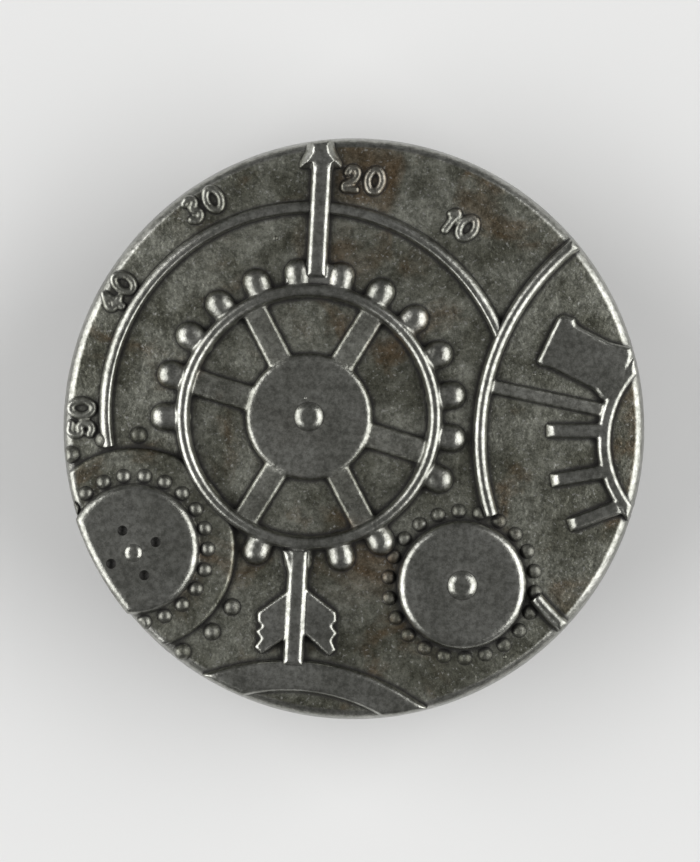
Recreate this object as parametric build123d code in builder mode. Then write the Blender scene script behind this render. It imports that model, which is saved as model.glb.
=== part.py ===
from build123d import *
import math
import os

os.makedirs("parts", exist_ok=True)

# Cast metal coat button with a clockwork relief and a wire sewing loop.
# Millimetres. +Z points out of the face, +Y towards the tip of the arrow.
# z = 0 is the lowest point of the loop.

# ---- overall sizes ----
disc_radius = 14.0
body_thick = 2.2
loop_drop = 4.0
relief_sink = 0.3

# ---- back of the casting ----
rim_wall = 1.7
recess_depth = 0.95
boss_radius = 3.6
boss_setback = 0.1
rim_round = 0.3
back_draft = 0.2
edge_draft = 0.2
draft_tall = 1.0
wear_width = 0.34
wear_drop = 0.24

# ---- wire loop ----
wire_dia = 1.3
eye_width = 2.1
leg_bite = 1.15

# ---- great wheel ----
wheel_at = (-2.15, 0.57)
wheel_outer = 6.38
wheel_band = 0.68
wheel_height = 0.7
wheel_teeth = 21
tooth_width = 1.3
tooth_reach = 1.2
tooth_height = 0.48
hub_radius = 3.02
hub_height = 0.48
spoke_width = 1.25
spoke_height = 0.34
spoke_angles = (58.0, 117.3, 163.0)
dome_radius = 0.69
dome_rise = 0.3

# ---- dial ring and bottom ring ----
dial_at = (-2.1, 0.8)
dial_outer = 10.1
dial_band = 0.62
dial_height = 0.38
dial_from = 21.5
dial_sweep = 168.5
bottom_at = (-3.3, -22.1)
bottom_outer = 11.1
bottom_band = 1.55
bottom_height = 0.45

# ---- right wheel: ring, hub band, block, low spoke and three fingers ----
right_at = (17.9, -0.55)
right_outer = 12.25
right_band = 0.68
right_height = 0.55
right_gap_from = 197.7
right_gap_to = 219.0
band_at = (17.1, -0.65)
band_outer = 5.5
band_width = 0.6
comb_height = 0.42
finger_width = 0.7
finger_nose = 0.28
low_height = 0.24

# ---- right pinion ----
pinion_at = (5.15, -7.45)
pinion_radius = 3.05
pinion_height = 0.8
pinion_balls = 22
ball_radius = 0.33
ball_rise = 0.28
ball_gap = 0.46

# ---- left gear: lower plate, round teeth, upper plate ----
left_at = (-10.48, -5.73)
left_hub_at = (-10.48, -5.9)
left_lower_radius = 4.8
left_lower_height = 0.42
left_upper_radius = 3.1
left_upper_height = 0.85
left_balls = 22
bump_angles = (124, 106, 88, -31, -47, -65)
bump_radius = 0.42
bump_rise = 0.34
pit_radius = 0.25
pit_circle = 1.18
pit_turn = 26
left_dome_radius = 0.45

# ---- arrow ----
arrow_tilt = -3.0
shaft_width = 1.0
low_shaft_shift = 0.15
shaft_height = 0.62
head_height = 0.66
vane_height = 0.5

# ---- figures on the dial ----
figure_height = 0.38
stroke = 0.27

# ---- worked-out levels ----
rim_z = loop_drop
ground_z = rim_z + body_thick
floor_z = rim_z + recess_depth
boss_z = rim_z + boss_setback
recess_radius = disc_radius - rim_wall
edge_radius = disc_radius - edge_draft
relief_top = left_upper_height + dome_rise + 0.2
side_draft = 12


def at(center, radius, angle):
    a = math.radians(angle)
    return (center[0] + radius * math.cos(a), center[1] + radius * math.sin(a))


def apart(p, q):
    return math.hypot(p[0] - q[0], p[1] - q[1])


# Every raised feature is made about the middle of the disc, then moved to its place.
def placed(solid, center, angle=0.0):
    return solid.moved(Location((center[0], center[1], 0), (0, 0, angle)))


ground_plane = Plane.XY.offset(ground_z)


# A ring, or part of one, with sloping sides and rounded top edges.
def cast_ring(center, outer, band, height, start=0.0, sweep=360.0):
    a = math.radians(start)
    side = Plane(
        origin=(center[0], center[1], ground_z),
        x_dir=(math.cos(a), math.sin(a), 0),
        z_dir=(math.sin(a), -math.cos(a), 0),
    )
    slope = 0.25 * height
    with BuildPart() as ring:
        with BuildSketch(side) as section:
            with BuildLine():
                Polyline(
                    (outer - band, -relief_sink),
                    (outer - band, 0),
                    (outer - band + slope, height),
                    (outer - slope, height),
                    (outer, 0),
                    (outer, -relief_sink),
                    close=True,
                )
            make_face()
            fillet(section.vertices().sort_by(Axis.Y)[-2:], radius=0.09)
        revolve(axis=Axis((center[0], center[1], 0), (0, 0, 1)), revolution_arc=sweep)
    return ring.part


# A round plate with a drafted side and a rounded top edge.
def cast_plate(center, radius, height, rounding):
    with BuildPart() as plate:
        with BuildSketch(ground_plane) as outline:
            Circle(radius)
        extrude(amount=height, taper=side_draft)
        fillet(plate.faces().sort_by(Axis.Z)[-1].edges(), radius=rounding)
        extrude(outline.sketch, amount=-relief_sink)
    return placed(plate.part, center)


# A straight bar, from start to end, with sloping sides and a nose that slopes up.
def cast_bar(start, end, width, height, nose=0.05):
    length = apart(start, end)
    angle = math.degrees(math.atan2(end[1] - start[1], end[0] - start[0]))
    slope = 0.25 * height
    with BuildPart() as bar:
        with BuildSketch(Plane.YZ) as section:
            with BuildLine():
                Polyline(
                    (-width / 2, ground_z - relief_sink),
                    (-width / 2, ground_z),
                    (slope - width / 2, ground_z + height),
                    (width / 2 - slope, ground_z + height),
                    (width / 2, ground_z),
                    (width / 2, ground_z - relief_sink),
                    close=True,
                )
            make_face()
            fillet(section.vertices().sort_by(Axis.Y)[-2:], radius=0.07)
        extrude(amount=length)
        with BuildSketch(Plane.XZ):
            with BuildLine():
                Polyline(
                    (0, ground_z - relief_sink),
                    (0, ground_z + 0.3 * height),
                    (nose, ground_z + height),
                    (length, ground_z + height),
                    (length, ground_z - relief_sink),
                    close=True,
                )
            make_face()
        extrude(amount=width, both=True, mode=Mode.INTERSECT)
    return placed(bar.part, start, angle)


# A raised shape bounded by straight edges, its corners softened.
def cast_shape(points, height, corner, rounding=0.07):
    with BuildPart() as shape:
        with BuildSketch(ground_plane) as outline:
            with BuildLine():
                Polyline(*points, close=True)
            make_face()
            fillet(outline.vertices(), radius=corner)
        extrude(amount=height)
        fillet(shape.faces().sort_by(Axis.Z)[-1].edges(), radius=rounding)
        extrude(outline.sketch, amount=-relief_sink)
    return shape.part


# A low dome: the cap of a ball, standing on a given level above the ground.
def cast_dome(center, radius, rise, level):
    ball = (radius**2 + rise**2) / (2 * rise)
    with BuildPart() as dome:
        with Locations((center[0], center[1], ground_z + level + rise - ball)):
            Sphere(ball)
    return dome.part


# ---- the disc: drafted side, worn face edge, hollow back, drafted boss ----
with BuildPart() as disc:
    with BuildSketch(Plane.XZ) as disc_section:
        with BuildLine():
            Polyline(
                (0, boss_z),
                (boss_radius, boss_z),
                (boss_radius + back_draft, floor_z),
                (recess_radius - back_draft, floor_z),
                (recess_radius, rim_z),
                (disc_radius, rim_z),
                (disc_radius, ground_z - draft_tall),
                (edge_radius, ground_z - wear_drop),
                (edge_radius - wear_width, ground_z),
                (0, ground_z),
                close=True,
            )
        make_face()
        side_points = disc_section.vertices().filter_by(lambda v: v.X > disc_radius - 0.01)
        fillet(side_points, radius=rim_round)
        worn_points = disc_section.vertices().filter_by(
            lambda v: v.Y > ground_z - wear_drop - 0.01 and v.X > 1
        )
        fillet(worn_points, radius=0.1)
    revolve(axis=Axis.Z)

# ---- what the rim leaves of the relief: it is cut back a little as it rises ----
with BuildPart() as trim:
    with BuildSketch(Plane.XZ) as trim_section:
        with BuildLine():
            Polyline(
                (0, ground_z - relief_sink),
                (disc_radius - 0.08, ground_z - relief_sink),
                (disc_radius - 0.3, ground_z + relief_top),
                (0, ground_z + relief_top),
                close=True,
            )
        make_face()
    revolve(axis=Axis.Z)

# ---- great wheel ----
tooth_circle = wheel_outer + tooth_reach - tooth_width / 2
tooth_step = 360 / wheel_teeth
with BuildPart() as tooth:
    with BuildSketch(ground_plane) as tooth_outline:
        with Locations((tooth_circle, 0)):
            Circle(tooth_width / 2)
        with Locations((wheel_outer - wheel_band / 2, 0)):
            Rectangle(
                tooth_circle - wheel_outer + wheel_band / 2,
                tooth_width,
                align=(Align.MIN, Align.CENTER),
            )
    extrude(amount=tooth_height, taper=side_draft)
    fillet(tooth.faces().sort_by(Axis.Z)[-1].edges(), radius=0.22)
    extrude(tooth_outline.sketch, amount=-relief_sink)

tooth_angles = []
for i in range(wheel_teeth):
    angle = 180 - tooth_step * i
    tip = at(wheel_at, wheel_outer + 0.6 * tooth_reach, angle)
    clear_of_left = apart(tip, left_at) > left_lower_radius + 0.1
    clear_of_pinion = apart(tip, pinion_at) > pinion_radius + ball_gap + ball_radius
    if clear_of_left and clear_of_pinion:
        tooth_angles.append(angle)

great_wheel = [
    cast_ring(wheel_at, wheel_outer, wheel_band, wheel_height),
    cast_plate(wheel_at, hub_radius, hub_height, 0.16),
    cast_dome(wheel_at, dome_radius, dome_rise, hub_height),
]
for angle in spoke_angles:
    for turn in (0, 180):
        inner_end = at(wheel_at, hub_radius - 0.6, angle + turn)
        outer_end = at(wheel_at, wheel_outer - wheel_band / 2, angle + turn)
        great_wheel.append(cast_bar(inner_end, outer_end, spoke_width, spoke_height))
for angle in tooth_angles:
    great_wheel.append(placed(tooth.part, wheel_at, angle))

# ---- dial ring, bottom ring ----
rings = [
    cast_ring(dial_at, dial_outer, dial_band, dial_height, dial_from, dial_sweep),
    cast_ring(bottom_at, bottom_outer, bottom_band, bottom_height),
]

# ---- right wheel: its ring stops short of the pinion on both sides ----
block = [
    (8.72, 3.2),
    (9.8, 5.42),
    (10.55, 5.25),
    (10.66, 4.95),
    (13.4, 3.72),
    (12.9, 1.9),
    (12.1, 1.4),
    (11.45, 1.85),
    (9.3, 2.92),
]
right_wheel = [
    cast_ring(right_at, right_outer, right_band, right_height, 100, right_gap_from - 100),
    cast_ring(right_at, right_outer, right_band, right_height, right_gap_to, 260 - right_gap_to),
    cast_ring(band_at, band_outer, band_width, comb_height),
    cast_shape(block, comb_height + 0.02, 0.12),
    cast_bar((6.2, 2.1), (12.0, 0.87), finger_width, low_height),
    cast_bar((9.15, -0.1), (12.1, -0.1), finger_width, comb_height, finger_nose),
    cast_bar((9.37, -2.5), (12.2, -2.0), finger_width, comb_height, finger_nose),
    cast_bar((10.22, -4.65), (12.7, -3.72), finger_width, comb_height, finger_nose),
]

# ---- right pinion: plate, dome, ring of small round teeth ----
pinion = [
    cast_plate(pinion_at, pinion_radius, pinion_height, 0.2),
    cast_dome(pinion_at, dome_radius, dome_rise, pinion_height),
]
for i in range(pinion_balls):
    spot = at(pinion_at, pinion_radius + ball_gap, 10.5 + 360 / pinion_balls * i)
    pinion.append(cast_dome(spot, ball_radius, ball_rise, 0))

# ---- left gear: lower plate, round teeth, upper plate with four pits ----
upper_plate = cast_plate(left_at, left_upper_radius, left_upper_height, 0.22)
with BuildPart() as pitted_plate:
    add(upper_plate)
    for i in range(4):
        spot = at(left_hub_at, pit_circle, pit_turn + 90 * i)
        with Locations((spot[0], spot[1], ground_z + left_upper_height)):
            Cylinder(pit_radius, 0.5, mode=Mode.SUBTRACT)

left_gear = [
    cast_plate(left_at, left_lower_radius, left_lower_height, 0.1),
    pitted_plate.part,
    cast_dome(left_hub_at, left_dome_radius, 0.22, left_upper_height),
]
for i in range(left_balls):
    spot = at(left_at, left_upper_radius + 0.4, 360 / left_balls * i)
    left_gear.append(cast_dome(spot, ball_radius, ball_rise, left_lower_height))
for angle in bump_angles:
    spot = at(left_at, left_lower_radius + 0.62, angle)
    left_gear.append(cast_dome(spot, bump_radius, bump_rise, 0))

# ---- arrow: shaft above and below the wheel, head, foot, two vanes ----
up_start = at(wheel_at, wheel_outer + 0.25, 90 + arrow_tilt)
up_end = at(wheel_at, 12.3, 90 + arrow_tilt)
low_center = (wheel_at[0] - low_shaft_shift, wheel_at[1])
down_start = at(low_center, wheel_outer - 0.1, 270 + arrow_tilt)
down_end = at(low_center, 11.9, 270 + arrow_tilt)
head = [(-2.5, 12.55), (-0.66, 12.55), (-0.66, 12.85), (-1.1, 14.1), (-1.95, 14.1), (-2.5, 12.85)]
foot = [(-3.3, 7.0), (-0.1, 6.8), (-0.2, 7.75), (-3.2, 7.95)]
flare = [(-2.5, -7.4), (-2.15, -5.75), (-3.45, -5.75), (-3.1, -7.4)]
left_vane = [
    (-3.0, -7.6),
    (-4.6, -8.75),
    (-4.6, -9.2),
    (-4.4, -9.4),
    (-4.7, -9.65),
    (-4.45, -10.0),
    (-4.75, -10.4),
    (-4.4, -10.75),
    (-3.0, -9.8),
]
right_vane = [
    (-2.3, -7.6),
    (-0.85, -8.75),
    (-0.82, -9.2),
    (-1.05, -9.4),
    (-0.78, -9.75),
    (-1.05, -10.1),
    (-0.85, -10.55),
    (-1.2, -10.85),
    (-2.4, -9.75),
]
arrow = [
    cast_bar(up_start, up_end, shaft_width, shaft_height),
    cast_bar(down_start, down_end, shaft_width, shaft_height),
    cast_shape(head, head_height, 0.1, 0.1),
    cast_shape(foot, tooth_height + 0.05, 0.25, 0.1),
    cast_shape(flare, shaft_height - 0.08, 0.05, 0.05),
    cast_shape(left_vane, vane_height, 0.06, 0.05),
    cast_shape(right_vane, vane_height, 0.06, 0.05),
]


# ---- figures: each is drawn upright about its own centre ----
def figure_zero():
    with BuildSketch() as figure:
        Ellipse(0.46, 0.7)
        Ellipse(0.17, 0.4, mode=Mode.SUBTRACT)
    return figure.sketch


def figure_one():
    with BuildSketch() as figure:
        with BuildLine():
            Polyline((-0.2, 0.28), (0.04, 0.52), (0.04, -0.58))
        trace(line_width=stroke)
    return figure.sketch


def figure_two():
    with BuildSketch() as figure:
        with BuildLine():
            ThreePointArc((-0.28, 0.24), (0.03, 0.54), (0.28, 0.17))
            Polyline((0.28, 0.17), (-0.28, -0.53), (0.34, -0.53))
        trace(line_width=stroke)
    return figure.sketch


def figure_three():
    with BuildSketch() as figure:
        with Locations((0, 0.3), (0, -0.3)):
            Circle(0.39)
        with Locations((0, 0.3), (0, -0.3)):
            Circle(0.12, mode=Mode.SUBTRACT)
        with Locations((-0.27, 0)):
            Rectangle(0.42, 0.34, mode=Mode.SUBTRACT)
    return figure.sketch


def figure_four():
    with BuildSketch() as figure:
        with BuildLine():
            Polyline((0.12, 0.5), (-0.31, -0.17), (0.37, -0.17))
        trace(line_width=stroke)
        with Locations((0.12, -0.02)):
            Rectangle(stroke, 1.22)
    return figure.sketch


def figure_five():
    with BuildSketch() as figure:
        with BuildLine():
            Polyline((0.28, 0.51), (-0.2, 0.51), (-0.22, 0.05))
            ThreePointArc((-0.22, 0.05), (0.31, -0.21), (-0.29, -0.42))
        trace(line_width=stroke)
    return figure.sketch


figure_places = [
    (figure_one, (4.62, 9.92), -37),
    (figure_zero, (5.42, 9.58), -37),
    (figure_two, (-0.12, 11.93), -11),
    (figure_zero, (1.0, 11.84), -11),
    (figure_three, (-7.7, 10.45), 26),
    (figure_zero, (-6.72, 10.95), 26),
    (figure_four, (-11.55, 6.05), 56),
    (figure_zero, (-11.0, 6.95), 56),
    (figure_five, (-13.0, 0.0), 90),
    (figure_zero, (-12.98, 0.98), 90),
]
figures = []
for draw, place, turn in figure_places:
    with BuildPart() as figure:
        with BuildSketch(ground_plane) as outline:
            add(draw())
        extrude(amount=figure_height)
        extrude(outline.sketch, amount=-relief_sink)
    figures.append(placed(figure.part, place, turn))

# ---- wire loop: two straight legs and a half-round bow ----
leg_x = (eye_width + wire_dia) / 2
bow_z = leg_x + wire_dia / 2
leg_top = boss_z + leg_bite
with BuildPart() as shank_loop:
    with BuildLine() as loop_path:
        Line((-leg_x, 0, leg_top), (-leg_x, 0, bow_z))
        ThreePointArc((-leg_x, 0, bow_z), (0, 0, bow_z - leg_x), (leg_x, 0, bow_z))
        Line((leg_x, 0, bow_z), (leg_x, 0, leg_top))
    with BuildSketch(Plane((-leg_x, 0, leg_top), z_dir=(0, 0, -1))):
        Circle(wire_dia / 2)
    sweep(path=loop_path.wire())

# ---- the casting: disc and relief in one piece, poured round the legs ----
with BuildPart() as relief:
    for group in (rings, great_wheel, right_wheel, pinion, left_gear, arrow, figures):
        add(group)
    add(trim.part, mode=Mode.INTERSECT)

with BuildPart() as cast_face:
    add(disc.part)
    add(relief.part)
    add(shank_loop.part, mode=Mode.SUBTRACT)

cast_face.part.label = "cast_face"
export_step(cast_face.part, "parts/cast_face.step")

shank_loop.part.label = "shank_loop"
export_step(shank_loop.part, "parts/shank_loop.step")
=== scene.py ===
import math

import bmesh
import bpy
from mathutils import Matrix, Vector


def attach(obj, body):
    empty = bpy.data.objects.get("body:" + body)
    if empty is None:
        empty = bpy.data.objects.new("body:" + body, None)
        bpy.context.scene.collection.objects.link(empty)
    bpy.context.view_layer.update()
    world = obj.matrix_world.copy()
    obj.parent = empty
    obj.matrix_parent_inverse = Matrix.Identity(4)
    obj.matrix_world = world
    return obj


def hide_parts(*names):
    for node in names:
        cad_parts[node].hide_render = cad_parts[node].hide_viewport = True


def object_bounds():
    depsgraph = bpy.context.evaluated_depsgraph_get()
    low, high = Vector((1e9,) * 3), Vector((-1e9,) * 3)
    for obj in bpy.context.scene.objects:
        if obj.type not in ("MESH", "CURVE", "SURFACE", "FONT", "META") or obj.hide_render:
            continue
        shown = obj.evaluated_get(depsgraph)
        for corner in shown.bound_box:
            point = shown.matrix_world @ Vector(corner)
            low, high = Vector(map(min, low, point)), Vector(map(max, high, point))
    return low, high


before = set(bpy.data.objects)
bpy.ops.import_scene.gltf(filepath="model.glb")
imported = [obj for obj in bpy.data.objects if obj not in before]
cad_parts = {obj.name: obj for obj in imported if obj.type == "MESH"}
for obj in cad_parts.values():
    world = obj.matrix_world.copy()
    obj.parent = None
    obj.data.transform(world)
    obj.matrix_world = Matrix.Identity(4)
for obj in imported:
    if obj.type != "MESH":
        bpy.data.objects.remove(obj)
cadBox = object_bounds()

# Everything is drawn in millimetres about the middle of the disc, with z = 0 on the
# flat ground of the face, and is put in its place in metres by finishPiece.
groundLevel = 6.2
sink = 0.5  # how far raised shapes reach down into the disc


def at(center, radius, angle):
    a = math.radians(angle)
    return (center[0] + radius * math.cos(a), center[1] + radius * math.sin(a))


def apart(p, q):
    return math.hypot(p[0] - q[0], p[1] - q[1])


def bevelEdges(bm, edges, width, segments):
    bmesh.ops.bevel(bm, geom=edges, offset=width, offset_type="OFFSET", segments=segments,
                    profile=0.5, affect="EDGES", clamp_overlap=True, material=-1)


def place(bm, center, angle=0.0, lift=0.0):
    turn = Matrix.Rotation(math.radians(angle), 4, "Z")
    bmesh.ops.transform(bm, matrix=Matrix.Translation((center[0], center[1], lift)) @ turn, verts=bm.verts)
    return bm


# A shape turned about its own axis: profile points are (radius, height).
# soften maps the number of a profile point to the width and segments of its bevel.
def turned(profile, center=(0, 0), closed=False, start=0.0, sweep=360.0, steps=96, soften=None):
    bm = bmesh.new()
    verts = [bm.verts.new((r, 0, z)) for r, z in profile]
    pairs = list(zip(verts, verts[1:])) + ([(verts[-1], verts[0])] if closed else [])
    edges = [bm.edges.new(pair) for pair in pairs]
    full = sweep > 359.9
    bmesh.ops.spin(bm, geom=verts + edges, cent=(0, 0, 0), axis=(0, 0, 1), dvec=(0, 0, 0),
                   angle=math.radians(sweep), steps=steps, use_merge=full)
    bmesh.ops.remove_doubles(bm, verts=bm.verts, dist=1e-4)
    rims = [e for e in bm.edges if e.is_boundary]
    if rims:
        bmesh.ops.holes_fill(bm, edges=rims, sides=0)
    bmesh.ops.recalc_face_normals(bm, faces=bm.faces)
    for number, (width, segments) in (soften or {}).items():
        r0, z0 = profile[number]
        chosen = [e for e in bm.edges if all(
            abs(math.hypot(v.co.x, v.co.y) - r0) < 2e-3 and abs(v.co.z - z0) < 1e-4 for v in e.verts)]
        bevelEdges(bm, chosen, width, segments)
    return place(bm, center, start)


# A flat-topped raised shape from its outline, its upper edge rounded over.
def slab(outline, height, rounding, segments=4, lean=0.0):
    bm = bmesh.new()
    face = bm.faces.new([bm.verts.new((x, y, -sink)) for x, y in outline])
    raised = bmesh.ops.extrude_face_region(bm, geom=[face])
    top = [v for v in raised["geom"] if isinstance(v, bmesh.types.BMVert)]
    bmesh.ops.translate(bm, vec=(0, 0, sink + height), verts=top)
    bmesh.ops.recalc_face_normals(bm, faces=bm.faces)
    if lean:
        lid = [f for f in bm.faces if f.calc_center_median().z > height - 1e-4]
        ring = bmesh.ops.inset_region(bm, faces=lid, thickness=lean, depth=0.0, use_even_offset=True)
        for v in {v for f in ring["faces"] for v in f.verts} - {v for f in lid for v in f.verts}:
            v.co.z = 0.1 * height
    bm.normal_update()
    edges = [e for e in bm.edges if all(abs(v.co.z - height) < 1e-4 for v in e.verts)]
    bevelEdges(bm, edges, rounding, segments)
    return bm


def bar(length, width, height, rounding, lean=0.08):
    w = width / 2
    return slab([(0, -w), (length, -w), (length, w), (0, w)], height, rounding, 4, lean)


def barBetween(start, end, width, height, rounding, lean=0.08):
    angle = math.degrees(math.atan2(end[1] - start[1], end[0] - start[0]))
    return place(bar(apart(start, end), width, height, rounding, lean), start, angle)


# Cross cuts along x, then the upper part of a shape falls towards one end: from the
# share of its height left at the tip to its full height a run further in.
def slopeEnd(bm, tip, run, share):
    side = math.copysign(1, run)
    for k in range(1, 6):
        bmesh.ops.bisect_plane(bm, geom=bm.verts[:] + bm.edges[:] + bm.faces[:], dist=1e-5,
                               plane_co=(tip + run * k / 5, 0, 0), plane_no=(1, 0, 0))
    for v in bm.verts:
        inward = min(1.0, max(0.0, (v.co.x - tip) * side / abs(run)))
        if v.co.z > 0:
            v.co.z *= share + (1 - share) * math.sin(math.pi / 2 * inward)
    return bm


# The cap of a ball that stands up from a level.
def dome(center, radius, rise, level=0.0, detail=28):
    ball = (radius * radius + rise * rise) / (2 * rise)  # the radius of the whole ball
    bm = bmesh.new()
    bmesh.ops.create_uvsphere(bm, u_segments=detail, v_segments=detail // 2, radius=ball)
    low = [v for v in bm.verts if v.co.z < -0.2 * ball]
    for v in low:
        v.co.z = max(v.co.z, -0.6 * ball)
    return place(bm, center, 0, level + rise - ball)


# A low round stud: flat in the middle, then curving down to its edge.
def stud(center, radius, flat, top, curve, steps=56):
    run = radius - flat
    arc = [(flat + run * k / 8, top - curve + math.sqrt(curve ** 2 - (run * k / 8) ** 2)) for k in range(9)]
    return turned([(0, top)] + arc + [(radius, -sink), (0, -sink)], center, steps=steps)


def castRing(center, outer, band, height, rounding, start=0.0, sweep=360.0, steps=160, inner=None):
    slope = 0.09
    profile = [(outer, -sink), (outer, 0.05), (outer - slope, height), (outer - band + slope, height),
               (outer - band, 0.05), (outer - band, -sink)]
    return turned(profile, center, True, start, sweep, steps, {2: (rounding, 4), 3: (inner or rounding, 3)})


def castPlate(center, radius, height, rounding, dish=0.0, steps=96):
    profile = [(0, height - dish), (radius - 2.2 * rounding, height - 0.5 * dish), (radius, height),
               (radius + 0.05, -sink), (0, -sink)]
    return turned(profile, center, False, 0, 360, steps, {2: (rounding, 6)})


def meshOf(bm, name):
    mesh = bpy.data.meshes.new(name)
    bm.to_mesh(mesh)
    bm.free()
    return mesh


def linked(name, mesh):
    obj = bpy.data.objects.new(name, mesh)
    bpy.context.scene.collection.objects.link(obj)
    return obj


# What is left of a raised shape inside the rim, or of a plate around its pits.
def cutWith(bm, cutter, operation):
    tool = linked("cutter", cutter)
    work = linked("work", meshOf(bm, "work"))
    modifier = work.modifiers.new("cut", "BOOLEAN")
    modifier.operation = operation
    modifier.solver = "EXACT"
    modifier.object = tool
    graph = bpy.context.evaluated_depsgraph_get()
    result = bpy.data.meshes.new_from_object(work.evaluated_get(graph))
    bpy.data.objects.remove(work)
    bpy.data.objects.remove(tool)
    out = bmesh.new()
    out.from_mesh(result)
    return out


# The rim that trims the relief: the outline of each shape stops at it with a round shoulder.
rim = {"radius": 13.95, "lowRadius": 13.83, "tall": 0.8, "round": 0.4, "deep": 0.8}


def insideRim(bm):
    top = max(v.co.z for v in bm.verts)
    limit = rim["radius"] if top > rim["tall"] else rim["lowRadius"]
    far = [math.hypot(v.co.x, v.co.y) for v in bm.verts]
    if max(far) < limit - rim["round"]:
        return bm
    if min(far) > limit:
        bm.free()
        return bmesh.new()
    shoulder = min(rim["round"], 0.85 * top)
    turns = [math.radians(a) for a in range(0, 90, 15)]
    arc = [(limit - shoulder * (1 - math.cos(a)), top - shoulder * (1 - math.sin(a))) for a in turns]
    low = -rim["deep"]
    profile = [(0, low), (limit, low)] + arc + [(limit - shoulder, top + 0.005), (0, top + 0.3)]
    return cutWith(bm, meshOf(turned(profile, steps=240), "envelope"), "INTERSECT")


# The disc is turned about its middle: hollow back with a boss, drafted side, worn face edge.
disc = {"radius": 14.0, "thick": 2.2, "rimWall": 1.7, "recess": 0.95, "boss": 3.6, "bossSetback": 0.1,
        "wear": 0.3, "wearDrop": 0.24, "draft": 0.2, "draftTall": 1.0, "backRound": 0.3, "steps": 240}


def makeDisc():
    back = -disc["thick"]
    inner = disc["radius"] - disc["rimWall"]
    edge = disc["radius"] - disc["draft"]
    floor = back + disc["recess"]
    profile = [(0, back + disc["bossSetback"]), (disc["boss"], back + disc["bossSetback"]),
               (disc["boss"] + disc["draft"], floor), (inner - disc["draft"], floor), (inner, back),
               (disc["radius"], back), (disc["radius"], -disc["draftTall"]),
               (edge, -disc["wearDrop"]), (edge - disc["wear"], 0), (0, 0)]
    side, worn, inside, bossRound = (0.3, 4), (0.12, 4), (0.12, 3), (0.15, 3)  # widths and segments
    soften = {5: (disc["backRound"], 4), 6: side, 7: worn, 8: worn, 4: inside, 3: bossRound,
              2: bossRound, 1: bossRound}
    return turned(profile, steps=disc["steps"], soften=soften)


# The great wheel: a ring with teeth, a hub and six spokes.
wheel = {"at": (-2.15, 0.57), "outer": 6.38, "band": 0.7, "height": 0.7, "ringEdge": 0.24,
         "teeth": 21, "toothWidth": 1.36, "toothReach": 1.2, "toothRoot": 1.3, "toothHeight": 0.58,
         "hub": 3.02, "hubHeight": 0.48, "hubEdge": 0.3,
         "spokes": (58.0, 117.3, 163.0), "spokeWidth": 1.25, "spokeHeight": 0.34, "spokeEdge": 0.17,
         "spokeLean": 0.03, "spokeInHub": 0.5, "spokeInRing": 0.3,
         "clearOfGear": 0.1, "clearOfPinion": 3.87}


# One tooth, low and round: half of a long egg, its blunt end outwards.
def toothShape():
    half = wheel["toothWidth"] / 2
    middle = wheel["outer"] + wheel["toothReach"] - half
    bm = bmesh.new()
    bmesh.ops.create_uvsphere(bm, u_segments=40, v_segments=24, radius=1)
    for v in bm.verts:
        x, y, z = v.co
        v.co = (middle + x * (half if x > 0 else wheel["toothRoot"]), y * half, z * wheel["toothHeight"])
    return bm


def makeGreatWheel():
    c = wheel["at"]
    shapes = [castRing(c, wheel["outer"], wheel["band"], wheel["height"], wheel["ringEdge"]),
              castPlate(c, wheel["hub"], wheel["hubHeight"], wheel["hubEdge"])]
    for angle in wheel["spokes"]:
        for turn in (0, 180):
            shapes.append(barBetween(at(c, wheel["hub"] - wheel["spokeInHub"], angle + turn),
                                     at(c, wheel["outer"] - wheel["spokeInRing"], angle + turn),
                                     wheel["spokeWidth"], wheel["spokeHeight"], wheel["spokeEdge"],
                                     wheel["spokeLean"]))
    for i in range(wheel["teeth"]):
        angle = 180 - 360 / wheel["teeth"] * i
        tip = at(c, wheel["outer"] + 0.6 * wheel["toothReach"], angle)
        offGear = apart(tip, leftGear["at"]) > leftGear["lower"] + wheel["clearOfGear"]
        if offGear and apart(tip, pinion["at"]) > wheel["clearOfPinion"]:
            shapes.append(place(toothShape(), c, angle))
    return shapes


# The ring of the dial, and the part of a larger ring at the bottom.
dial = {"at": (-2.1, 0.8), "outer": 10.1, "band": 0.64, "height": 0.38, "start": 21.5, "sweep": 168.5,
        "outerEdge": 0.3, "innerEdge": 0.1}
bottomRing = {"at": (-3.3, -22.1), "outer": 11.1, "band": 1.55, "height": 0.45, "start": 50, "sweep": 80,
              "edge": 0.22, "steps": 90}


def makeRings():
    d, b = dial, bottomRing
    return [castRing(d["at"], d["outer"], d["band"], d["height"], d["outerEdge"], d["start"], d["sweep"],
                     inner=d["innerEdge"]),
            castRing(b["at"], b["outer"], b["band"], b["height"], b["edge"], b["start"], b["sweep"],
                     b["steps"])]


# The wheel that the rim cuts off on the right: a ring with a gap, a comb on a curved band,
# and a block.
rightWheel = {"at": (17.9, -0.55), "outer": 12.25, "band": 0.7, "height": 0.55, "edge": 0.24,
              "ringFrom": 100, "gapFrom": 197.7, "gapTo": 219.0, "ringTo": 260,
              "bandAt": (17.1, -0.65), "bandOuter": 5.5, "bandWidth": 0.66, "bandFrom": 100, "bandSweep": 160,
              "comb": 0.4, "fingerWidth": 0.7, "fingerSlope": 0.5,
              "fingers": [((9.15, -0.1), (12.1, -0.1)), ((9.37, -2.5), (12.2, -2.0)),
                          ((10.22, -4.65), (12.7, -3.72))],
              "low": 0.24, "lowBar": ((6.2, 2.1), (12.0, 0.87)),
              "block": [(8.7, 3.2), (9.72, 5.32), (9.95, 5.48), (10.55, 5.28), (10.62, 4.98), (12.2, 4.15),
                        (13.4, 3.85), (12.9, 1.9), (12.2, 1.3), (11.8, 1.4), (11.45, 1.85), (9.35, 2.92),
                        (8.95, 2.95)]}


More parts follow.
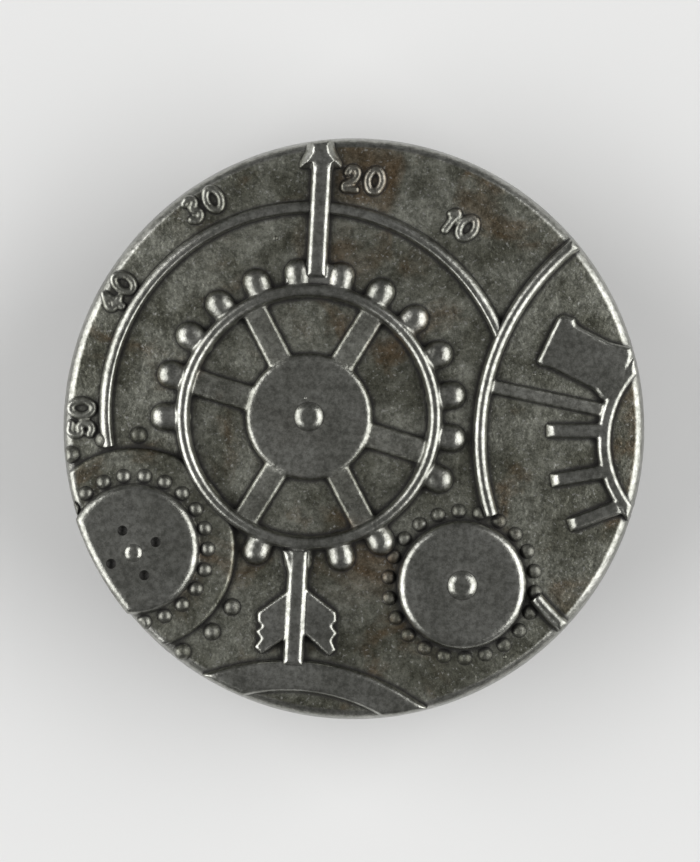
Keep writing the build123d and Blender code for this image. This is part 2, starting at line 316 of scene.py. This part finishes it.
def arcOutline(center, outer, band, start, sweep, steps=60):
    turns = [start + sweep * i / steps for i in range(steps + 1)]
    return [at(center, outer, a) for a in turns] + [at(center, outer - band, a) for a in reversed(turns)]


# One finger of the comb: its free end slopes down to the ground.
def finger(tip, root):
    angle = math.degrees(math.atan2(root[1] - tip[1], root[0] - tip[0]))
    bm = bar(apart(tip, root), rightWheel["fingerWidth"], rightWheel["comb"], 0.16, 0.03)
    return place(slopeEnd(bm, 0, rightWheel["fingerSlope"], 0.25), tip, angle)


def makeRightWheel():
    w = rightWheel
    band = arcOutline(w["bandAt"], w["bandOuter"], w["bandWidth"], w["bandFrom"], w["bandSweep"])
    shapes = [castRing(w["at"], w["outer"], w["band"], w["height"], w["edge"], w["ringFrom"],
                       w["gapFrom"] - w["ringFrom"], 110),
              castRing(w["at"], w["outer"], w["band"], w["height"], w["edge"], w["gapTo"],
                       w["ringTo"] - w["gapTo"], 60),
              slab(band, w["comb"] + 0.01, 0.24, 4),
              slab(list(reversed(w["block"])), w["comb"] + 0.02, 0.28, 6),
              barBetween(*w["lowBar"], w["fingerWidth"], w["low"], 0.12, 0.05)]
    return shapes + [finger(tip, root) for tip, root in w["fingers"]]


# The small wheel at the lower right.
pinion = {"at": (5.15, -7.45), "radius": 3.05, "height": 0.8, "edge": 0.42, "dish": 0.06,
          "balls": 22, "ballRadius": 0.36, "gap": 0.46, "turn": 10.5}


def makePinion():
    return [castPlate(pinion["at"], pinion["radius"], pinion["height"], pinion["edge"], pinion["dish"])]


# The left wheel: a low plate, a high plate with four pits, and teeth round both.
leftGear = {"at": (-10.48, -5.73), "lower": 4.8, "lowerHeight": 0.42, "lowerEdge": 0.2,
            "upper": 3.1, "upperHeight": 0.85, "upperEdge": 0.4,
            "balls": 22, "ballRadius": 0.36, "gap": 0.4,
            "bumps": (124, 106, 88, -31, -47, -65), "bumpRadius": 0.42, "bumpRise": 0.36, "bumpGap": 0.62,
            "hubAt": (-10.48, -5.9), "pit": 0.25, "pitCircle": 1.18, "pitTurn": 26, "pitLift": -0.02}


def makeLeftGear():
    g = leftGear
    return [castPlate(g["at"], g["lower"], g["lowerHeight"], g["lowerEdge"]),
            castPlate(g["at"], g["upper"], g["upperHeight"], g["upperEdge"])]


# The low studs in the middle of the wheels, each standing on its plate.
studs = {"radius": 0.7, "flat": 0.26, "rise": 0.28, "pinionRise": 0.23, "curve": 0.52,
         "smallRadius": 0.43, "smallFlat": 0.12, "smallRise": 0.17, "smallCurve": 0.38}


def makeStuds():
    t = studs
    return [stud(wheel["at"], t["radius"], t["flat"], wheel["hubHeight"] + t["rise"], t["curve"]),
            stud(pinion["at"], t["radius"], t["flat"], pinion["height"] + t["pinionRise"], t["curve"]),
            stud(leftGear["hubAt"], t["smallRadius"], t["smallFlat"],
                 leftGear["upperHeight"] + t["smallRise"], t["smallCurve"], 40)]


def makeRoundTeeth():
    p, g, rise = pinion, leftGear, 0.26
    shapes = []
    for i in range(p["balls"]):
        spot = at(p["at"], p["radius"] + p["gap"], p["turn"] + 360 / p["balls"] * i)
        shapes.append(dome(spot, p["ballRadius"], rise, 0, 20))
    for i in range(g["balls"]):
        spot = at(g["at"], g["upper"] + g["gap"], 360 / g["balls"] * i)
        shapes.append(dome(spot, g["ballRadius"], rise, g["lowerHeight"], 20))
    for angle in g["bumps"]:
        spot = at(g["at"], g["lower"] + g["bumpGap"], angle)
        shapes.append(dome(spot, g["bumpRadius"], g["bumpRise"], 0, 24))
    return shapes


# The four pits of the upper plate, cut once the plates have been fused.
def pitted(bm):
    g = leftGear
    pits = bmesh.new()
    for i in range(4):
        spot = at(g["hubAt"], g["pitCircle"], g["pitTurn"] + 90 * i)
        bmesh.ops.create_uvsphere(pits, u_segments=20, v_segments=12, radius=g["pit"],
                                  matrix=Matrix.Translation((*spot, g["upperHeight"] + g["pitLift"])))
    return cutWith(bm, meshOf(pits, "pits"), "DIFFERENCE")


# The arrow: two halves of a shaft, and a head, a flare, a foot and two vanes drawn in place.
arrow = {"tilt": -3.0, "lowShift": 0.15, "width": 1.0, "height": 0.62, "shaftEdge": 0.25, "shaftLean": 0.05,
         "upperFrom": 6.63, "upperTo": 12.3, "lowerFrom": 6.28, "lowerTo": 11.9,
         "headHeight": 0.58, "headLean": 0.38, "vaneHeight": 0.5, "vaneEdge": 0.13, "footHeight": 0.36,
         "head": [(-2.64, 12.42), (-0.52, 12.42), (-0.54, 12.72), (-0.86, 13.3), (-1.0, 14.1), (-2.16, 14.1),
                  (-2.3, 13.3), (-2.62, 12.72)],
         "flare": [(-2.55, -7.4), (-2.15, -5.75), (-3.45, -5.75), (-3.05, -7.4)],
         "foot": [(-3.3, 6.85), (-0.1, 6.65), (-0.15, 7.5), (-0.4, 7.8), (-3.0, 7.98), (-3.25, 7.7)],
         "leftVane": [(-3.0, -7.6), (-4.6, -8.75), (-4.6, -9.2), (-4.4, -9.4), (-4.7, -9.65), (-4.45, -10.0),
                      (-4.75, -10.4), (-4.4, -10.75), (-3.0, -9.8)],
         "rightVane": [(-2.3, -7.6), (-0.85, -8.75), (-0.82, -9.2), (-1.05, -9.4), (-0.78, -9.75),
                       (-1.05, -10.1), (-0.85, -10.55), (-1.2, -10.85), (-2.4, -9.75)]}


def makeArrow():
    a, c = arrow, wheel["at"]
    low = (c[0] - a["lowShift"], c[1])
    up, down = 90 + a["tilt"], 270 + a["tilt"]
    shaft = (a["width"], a["height"], a["shaftEdge"], a["shaftLean"])
    return [barBetween(at(c, a["upperFrom"], up), at(c, a["upperTo"], up), *shaft),
            barBetween(at(low, a["lowerFrom"], down), at(low, a["lowerTo"], down), *shaft),
            slab(a["head"], a["headHeight"], 0.12, 4, a["headLean"]),
            slab(list(reversed(a["flare"])), a["height"] - 0.04, 0.24, 4, 0.03),
            slab(a["foot"], a["footHeight"], 0.2, 4),
            slab(a["leftVane"], a["vaneHeight"], a["vaneEdge"], 3),
            slab(list(reversed(a["rightVane"])), a["vaneHeight"], a["vaneEdge"], 3)]


# Each figure is a bent bead of metal, drawn upright about its own centre.
figures = {"bead": 0.22, "wide": 0.68, "tall": 0.84,
           "strokes": {
               "0": [([(0, 0.64), (0.42, 0.35), (0.42, -0.35), (0, -0.64), (-0.42, -0.35), (-0.42, 0.35)],
                      True)],
               "1": [([(-0.26, 0.34), (0.06, 0.62), (0.06, 0.1), (0.06, -0.62)], False)],
               "2": [([(-0.36, 0.3), (-0.1, 0.62), (0.3, 0.5), (0.3, 0.1), (-0.4, -0.58), (0, -0.6),
                       (0.42, -0.56)], False)],
               "3": [([(-0.36, 0.5), (0, 0.64), (0.34, 0.38), (-0.02, 0.04), (0.38, -0.3), (0.02, -0.64),
                       (-0.38, -0.5)], False)],
               "4": [([(0.14, -0.62), (0.14, 0), (0.14, 0.62)], False),
                     ([(0.1, 0.58), (-0.4, -0.18), (0, -0.2), (0.46, -0.2)], False)],
               "5": [([(0.36, 0.6), (-0.26, 0.6), (-0.3, 0.08), (0.16, 0.12), (0.38, -0.26), (0.04, -0.62),
                       (-0.38, -0.48)], False)]},
           "places": [("1", (4.62, 9.92), -37), ("0", (5.42, 9.58), -37), ("2", (-0.12, 11.93), -11),
                      ("0", (1.0, 11.84), -11), ("3", (-7.7, 10.45), 26), ("0", (-6.72, 10.95), 26),
                      ("4", (-11.55, 6.05), 56), ("0", (-11.0, 6.95), 56), ("5", (-13.02, 0.0), 90),
                      ("0", (-13.0, 0.98), 90)]}


def bead(points, loop):
    wide, tall = figures["wide"], figures["tall"]
    curve = bpy.data.curves.new("bead", "CURVE")
    curve.dimensions = "3D"
    curve.bevel_depth = figures["bead"]
    curve.bevel_resolution = 4
    curve.resolution_u = 8
    curve.use_fill_caps = True
    spline = curve.splines.new("BEZIER")
    spline.bezier_points.add(len(points) - 1)
    for knot, (x, y) in zip(spline.bezier_points, points):
        knot.co = (x * wide, y * tall, 0)
        knot.handle_left_type = knot.handle_right_type = "AUTO"
    spline.use_cyclic_u = loop
    holder = linked("bead", curve)
    graph = bpy.context.evaluated_depsgraph_get()
    mesh = bpy.data.meshes.new_from_object(holder.evaluated_get(graph))
    bpy.data.objects.remove(holder)
    bm = bmesh.new()
    bm.from_mesh(mesh)
    if not loop:
        for end in (points[0], points[-1]):
            bmesh.ops.create_uvsphere(bm, u_segments=14, v_segments=10, radius=figures["bead"],
                                      matrix=Matrix.Translation((end[0] * wide, end[1] * tall, 0)))
    bmesh.ops.remove_doubles(bm, verts=bm.verts, dist=1e-5)
    return bm


def makeFigures():
    shapes = []
    for name, spot, turn in figures["places"]:
        for points, loop in figures["strokes"][name]:
            shapes.append(place(bead(points, loop), spot, turn))
    return shapes


# Small casting beads left on the ground, each with its radius.
specks = [((-3.75, 9.1), 0.13), ((-4.25, 5.9), 0.1), ((-2.3, 1.45), 0.09), ((0.35, -1.0), 0.1),
          ((-13.5, -1.25), 0.2), ((8.6, 2.6), 0.1), ((8.9, 2.65), 0.08), ((7.2, -10.9), 0.12)]


def makeSpecks():
    return [dome(spot, radius, 0.6 * radius, 0.46 if apart(spot, wheel["at"]) < 2.8 else 0, 12)
            for spot, radius in specks]


# Shapes of one group flow into each other as cast metal does: they are fused on a fine
# grid, every edge is rubbed a little rounder, and what lies inside the disc is cut away.
def fuse(shapes, grid, rubs):
    whole = bmesh.new()
    for shape in shapes:
        part = meshOf(shape, "part")
        whole.from_mesh(part)
        bpy.data.meshes.remove(part)
    work = linked("work", meshOf(whole, "work"))
    melt = work.modifiers.new("melt", "REMESH")
    melt.mode = "VOXEL"
    melt.voxel_size = grid
    rub = work.modifiers.new("rub", "SMOOTH")
    rub.factor = 0.5
    rub.iterations = rubs
    graph = bpy.context.evaluated_depsgraph_get()
    result = bpy.data.meshes.new_from_object(work.evaluated_get(graph))
    bpy.data.objects.remove(work)
    out = bmesh.new()
    out.from_mesh(result)
    bmesh.ops.bisect_plane(out, geom=out.verts[:] + out.edges[:] + out.faces[:], dist=1e-5,
                           plane_co=(0, 0, -0.35), plane_no=(0, 0, 1), clear_inner=True)
    bmesh.ops.holes_fill(out, edges=[e for e in out.edges if e.is_boundary], sides=0)
    return out


def finishPiece(bm, name, material, sharp=38):
    bmesh.ops.transform(bm, matrix=Matrix.Scale(0.001, 4) @ Matrix.Translation((0, 0, groundLevel)),
                        verts=bm.verts)
    bmesh.ops.triangulate(bm, faces=[f for f in bm.faces if len(f.verts) > 4])
    for face in bm.faces:
        face.smooth = True
    for edge in bm.edges:
        if len(edge.link_faces) == 2 and edge.calc_face_angle(0) > math.radians(sharp):
            edge.smooth = False
    obj = linked(name, meshOf(bm, name))
    obj.data.materials.append(material)
    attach(obj, "root")
    print("made", name, sum(len(f.vertices) - 2 for f in obj.data.polygons), "triangles")
    return obj


# Short ways to build shader nodes.
def newGroup(name, inputs, outputs):
    group = bpy.data.node_groups.new(name, "ShaderNodeTree")
    for label, kind, value in inputs:
        socket = group.interface.new_socket(name=label, in_out="INPUT", socket_type=kind)
        socket.default_value = value
    for label, kind in outputs:
        group.interface.new_socket(name=label, in_out="OUTPUT", socket_type=kind)
    return group, group.nodes.new("NodeGroupInput"), group.nodes.new("NodeGroupOutput")


def node(tree, kind, **settings):
    made = tree.nodes.new("ShaderNode" + kind)
    for key, value in settings.items():
        if key in made.inputs:
            made.inputs[key].default_value = value
        else:
            setattr(made, key, value)
    return made


def noise(tree, coords, scale, detail=4.0, rough=0.55, distortion=0.0):
    made = node(tree, "TexNoise", Scale=scale, Detail=detail, Roughness=rough, Distortion=distortion)
    tree.links.new(coords, made.inputs["Vector"])
    return made.outputs["Fac"]


def ranged(tree, value, low, high, toLow=0.0, toHigh=1.0, smooth=True):
    made = tree.nodes.new("ShaderNodeMapRange")
    made.interpolation_type = "SMOOTHSTEP" if smooth else "LINEAR"
    for label, number in (("From Min", low), ("From Max", high), ("To Min", toLow), ("To Max", toHigh)):
        made.inputs[label].default_value = number
    tree.links.new(value, made.inputs["Value"])
    return made.outputs["Result"]


def blendColours(tree, factor, a, b, mode="MIX"):
    made = tree.nodes.new("ShaderNodeMix")
    made.data_type = "RGBA"
    made.blend_type = mode
    for socket, value in ((made.inputs["Factor"], factor), (made.inputs["A"], a), (made.inputs["B"], b)):
        if hasattr(value, "is_linked"):
            tree.links.new(value, socket)
        else:
            socket.default_value = value
    return made.outputs["Result"]


def calc(tree, operation, a, b=None, clamp=False):
    made = node(tree, "Math", operation=operation, use_clamp=clamp)
    for socket, value in zip(made.inputs, (a, b)):
        if value is None:
            continue
        if hasattr(value, "is_linked"):
            tree.links.new(value, socket)
        else:
            socket.default_value = value
    return made.outputs[0]


# Dark patina: strong in corners and low on the relief, rubbed off high and on edges.
def buildPatinaGroup():
    group, into, out = newGroup(
        "castPatina",
        [("Reach", "NodeSocketFloat", 0.00034), ("Low", "NodeSocketFloat", 0.0061),
         ("High", "NodeSocketFloat", 0.0067)],
        [(label, "NodeSocketFloat")
         for label in ("Corner", "Raised", "Blotch", "Stain", "Speck", "Tone", "Height")])
    coords = group.nodes.new("ShaderNodeTexCoord").outputs["Object"]
    hollow = node(group, "AmbientOcclusion", samples=8, only_local=False)
    group.links.new(into.outputs["Reach"], hollow.inputs["Distance"])
    corner = ranged(group, hollow.outputs["AO"], 0.93, 0.68)
    split = group.nodes.new("ShaderNodeSeparateXYZ")
    group.links.new(coords, split.inputs[0])
    lifted = group.nodes.new("ShaderNodeMapRange")
    lifted.interpolation_type = "SMOOTHSTEP"
    group.links.new(split.outputs["Z"], lifted.inputs["Value"])
    group.links.new(into.outputs["Low"], lifted.inputs["From Min"])
    group.links.new(into.outputs["High"], lifted.inputs["From Max"])
    across = group.nodes.new("ShaderNodeVectorMath")
    across.operation = "MULTIPLY"
    across.inputs[1].default_value = (1, 1, 0)
    group.links.new(coords, across.inputs[0])
    reach = group.nodes.new("ShaderNodeVectorMath")
    reach.operation = "LENGTH"
    group.links.new(across.outputs["Vector"], reach.inputs[0])
    handled = ranged(group, reach.outputs["Value"], 0.0134, 0.01355)
    raised = calc(group, "MAXIMUM", lifted.outputs["Result"], handled)
    blotch = ranged(group, noise(group, coords, 420, 5, 0.6, 0.3), 0.35, 0.68)
    stain = ranged(group, noise(group, coords, 260, 4, 0.6, 0.6), 0.5, 0.72)
    speck = ranged(group, noise(group, coords, 6500, 2, 0.5), 0.6, 0.72)
    tone = noise(group, coords, 3300, 6, 0.78)
    grain = calc(group, "ADD", calc(group, "MULTIPLY", noise(group, coords, 5200, 3, 0.6), 0.5),
                 noise(group, coords, 1500, 5, 0.62))
    for label, value in (("Corner", corner), ("Raised", raised), ("Blotch", blotch),
                         ("Stain", stain), ("Speck", speck), ("Tone", tone), ("Height", grain)):
        group.links.new(value, out.inputs[label])
    return group


patinaGroup = buildPatinaGroup()

finishes = {
    "antiqueCasting": {"metal": (0.33, 0.332, 0.3, 1), "rubbed": (0.46, 0.46, 0.425, 1),
                       "ground": (0.125, 0.125, 0.098, 1), "pale": (0.29, 0.293, 0.25, 1),
                       "stain": (0.14, 0.085, 0.04, 1), "dark": (0.012, 0.011, 0.01, 1),
                       "roughHigh": 0.31, "roughLow": 0.46, "bump": 0.5},
    "dulledCasting": {"metal": (0.2, 0.2, 0.175, 1), "rubbed": (0.3, 0.3, 0.27, 1),
                      "ground": (0.11, 0.11, 0.088, 1), "pale": (0.24, 0.24, 0.21, 1),
                      "stain": (0.12, 0.075, 0.04, 1), "dark": (0.012, 0.011, 0.01, 1),
                      "roughHigh": 0.42, "roughLow": 0.55, "bump": 0.5},
    "antiqueWire": {"metal": (0.45, 0.44, 0.42, 1), "rubbed": (0.55, 0.55, 0.52, 1),
                    "ground": (0.3, 0.29, 0.27, 1), "pale": (0.4, 0.4, 0.38, 1),
                    "stain": (0.18, 0.13, 0.09, 1), "dark": (0.02, 0.018, 0.016, 1),
                    "roughHigh": 0.3, "roughLow": 0.42, "bump": 0.1},
}


def makeFinish(name, low, high):
    values = finishes[name]
    material = bpy.data.materials.new(name)
    material.use_nodes = True
    tree = material.node_tree
    tree.nodes.clear()
    patina = tree.nodes.new("ShaderNodeGroup")
    patina.node_tree = patinaGroup
    patina.inputs["Low"].default_value = low
    patina.inputs["High"].default_value = high
    mask = patina.outputs
    ground = blendColours(tree, mask["Blotch"], values["ground"], values["pale"])
    ground = blendColours(tree, calc(tree, "MULTIPLY", mask["Stain"], 0.75), ground, values["stain"])
    ground = blendColours(tree, calc(tree, "MULTIPLY", mask["Speck"], 0.5), ground, (0.5, 0.5, 0.48, 1))
    worn = blendColours(tree, mask["Blotch"], values["metal"], values["rubbed"])
    colour = blendColours(tree, mask["Raised"], ground, worn)
    tone = blendColours(tree, ranged(tree, mask["Tone"], 0.34, 0.66), (0.4, 0.4, 0.39, 1), (1, 1, 1, 1))
    toneShare = ranged(tree, mask["Raised"], 0, 1, 1.0, 0.85, False)
    colour = blendColours(tree, toneShare, colour, tone, "MULTIPLY")
    colour = blendColours(tree, calc(tree, "MULTIPLY", mask["Corner"], 0.95), colour, values["dark"])
    rubbedRough = ranged(tree, mask["Raised"], 0, 1, values["roughLow"], values["roughHigh"], False)
    rough = calc(tree, "ADD", rubbedRough, calc(tree, "MULTIPLY", mask["Corner"], 0.3), True)
    metallic = calc(tree, "SUBTRACT", 1.0, calc(tree, "MULTIPLY", mask["Corner"], 0.7), True)
    strength = ranged(tree, mask["Raised"], 0, 1, 1.0, 0.42, False)
    bump = node(tree, "Bump", Distance=0.00012)
    tree.links.new(calc(tree, "MULTIPLY", strength, values["bump"]), bump.inputs["Strength"])
    tree.links.new(mask["Height"], bump.inputs["Height"])
    shader = tree.nodes.new("ShaderNodeBsdfPrincipled")
    out = tree.nodes.new("ShaderNodeOutputMaterial")
    for value, label in ((colour, "Base Color"), (rough, "Roughness"), (metallic, "Metallic"),
                         (bump.outputs["Normal"], "Normal")):
        tree.links.new(value, shader.inputs[label])
    tree.links.new(shader.outputs["BSDF"], out.inputs["Surface"])
    return material


groundFinish = makeFinish("antiqueCasting", 0.0064, 0.0068)
wheelFinish = makeFinish("antiqueCasting", 0.00625, 0.00655)
spokeFinish = makeFinish("antiqueCasting", 0.0063, 0.0068)
gearFinish = makeFinish("antiqueCasting", 0.0066, 0.00695)
dullFinish = makeFinish("dulledCasting", 0.0063, 0.0069)
wireFinish = makeFinish("antiqueWire", 0.0, 0.003)
print("finishes ready")

# The casting: the disc, then each group of the relief with its maker, its finish, the width
# of the grid it is fused on and how often it is rubbed.
casting = [finishPiece(makeDisc(), "disc", groundFinish)]
groups = {"greatWheel": (makeGreatWheel, spokeFinish, 0.056, 10),
          "studs": (makeStuds, wheelFinish, 0.03, 8),
          "rings": (makeRings, wheelFinish, 0.05, 12),
          "rightWheel": (makeRightWheel, wheelFinish, 0.045, 14),
          "pinion": (makePinion, wheelFinish, 0.05, 10),
          "leftGear": (makeLeftGear, gearFinish, 0.05, 12),
          "roundTeeth": (makeRoundTeeth, dullFinish, 0.045, 6),
          "arrow": (makeArrow, wheelFinish, 0.05, 13),
          "figures": (makeFigures, wheelFinish, 0.04, 14),
          "specks": (makeSpecks, wheelFinish, 0.04, 1)}
for name, (build, finish, grid, rubs) in groups.items():
    shapes = build() if name == "figures" else map(insideRim, build())
    shapes = [shape for shape in shapes if len(shape.verts)]
    fused = fuse(shapes, grid, rubs)
    if name == "leftGear":
        fused = pitted(fused)
    casting.append(finishPiece(fused, name, finish, 60))
for piece in casting:
    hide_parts("cast_face")

# The wire loop: two legs and a half-round bow.
loop = {"wire": 1.3, "eye": 2.1, "legTop": 5.25 - groundLevel, "bowLevel": 2.35 - groundLevel, "segments": 40}


def makeLoop():
    reach = (loop["eye"] + loop["wire"]) / 2
    bm = bmesh.new()
    bmesh.ops.create_circle(bm, cap_ends=True, segments=loop["segments"], radius=loop["wire"] / 2)
    bmesh.ops.translate(bm, vec=(-reach, 0, loop["legTop"]), verts=bm.verts)

    def growDown(faces, drop):
        grown = bmesh.ops.extrude_face_region(bm, geom=faces)["geom"]
        moved = [v for v in grown if isinstance(v, bmesh.types.BMVert)]
        bmesh.ops.translate(bm, vec=(0, 0, drop), verts=moved)
        return [f for f in grown if isinstance(f, bmesh.types.BMFace)]

    drop = loop["bowLevel"] - loop["legTop"]
    cap = growDown(list(bm.faces), drop)
    bent = bmesh.ops.spin(bm, geom=cap, cent=(0, 0, loop["bowLevel"]), axis=(0, 1, 0), dvec=(0, 0, 0),
                          angle=-math.pi, steps=28, use_merge=False)["geom_last"]
    growDown([f for f in bent if isinstance(f, bmesh.types.BMFace)], -drop)
    inner = [f for f in bm.faces if len(f.verts) > 4
             and not all(e.is_boundary or len(e.link_faces) == 2 for e in f.edges)]
    bmesh.ops.delete(bm, geom=inner, context="FACES_ONLY")
    bmesh.ops.recalc_face_normals(bm, faces=bm.faces)
    return bm


wireLoop = finishPiece(makeLoop(), "wireLoop", wireFinish)
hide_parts("shank_loop")

# Floor, lights and camera, in metres.
studio = {"floorColour": (0.64, 0.64, 0.635, 1), "ceiling": 0.14, "side": 0.64, "panelOut": 0.17,
          "panelUp": 0.1, "panelSize": (0.28, 0.19), "lens": 150, "sensor": 36, "shows": 0.0334,
          "aim": (-0.00019, -0.00011, 0.0064)}


def makeFloor():
    bm = bmesh.new()
    bmesh.ops.create_grid(bm, x_segments=1, y_segments=1, size=0.6)
    bmesh.ops.translate(bm, vec=(0, 0, cadBox[0].z - 0.00001), verts=bm.verts)
    floor = linked("floor", meshOf(bm, "floor"))
    paper = bpy.data.materials.new("paper")
    paper.use_nodes = True
    shader = paper.node_tree.nodes["Principled BSDF"]
    shader.inputs["Base Color"].default_value = studio["floorColour"]
    shader.inputs["Roughness"].default_value = 0.9
    floor.data.materials.append(paper)


# A soft panel out to one side, turned to face the button.
def sidePanel(name, side, target=(0, 0, 0.006)):
    spot = (side * studio["panelOut"], 0, studio["panelUp"])
    light = bpy.data.lights.new(name, "AREA")
    light.shape = "RECTANGLE"
    light.size, light.size_y = studio["panelSize"]
    light.energy = studio["side"]
    obj = linked(name, light)
    obj.location = spot
    obj.rotation_euler = (Vector(target) - Vector(spot)).to_track_quat("-Z", "Y").to_euler()


makeFloor()
sidePanel("leftPanel", -1)
sidePanel("rightPanel", 1)
world = bpy.data.worlds.new("room")
bpy.context.scene.world = world
world.use_nodes = True
world.node_tree.nodes["Background"].inputs["Color"].default_value = (studio["ceiling"],) * 3 + (1,)

camera = bpy.data.objects.new("camera", bpy.data.cameras.new("camera"))
bpy.context.scene.collection.objects.link(camera)
camera.data.sensor_fit = "HORIZONTAL"
camera.data.sensor_width = studio["sensor"]
camera.data.lens = studio["lens"]
camera.data.clip_start, camera.data.clip_end = 0.001, 2
x, y, z = studio["aim"]
camera.location = (x, y, z + studio["shows"] * studio["lens"] / studio["sensor"])
camera.rotation_euler = (0, 0, 0)
bpy.context.scene.camera = camera
bpy.context.scene.view_settings.view_transform = "Standard"
print("stage ready")
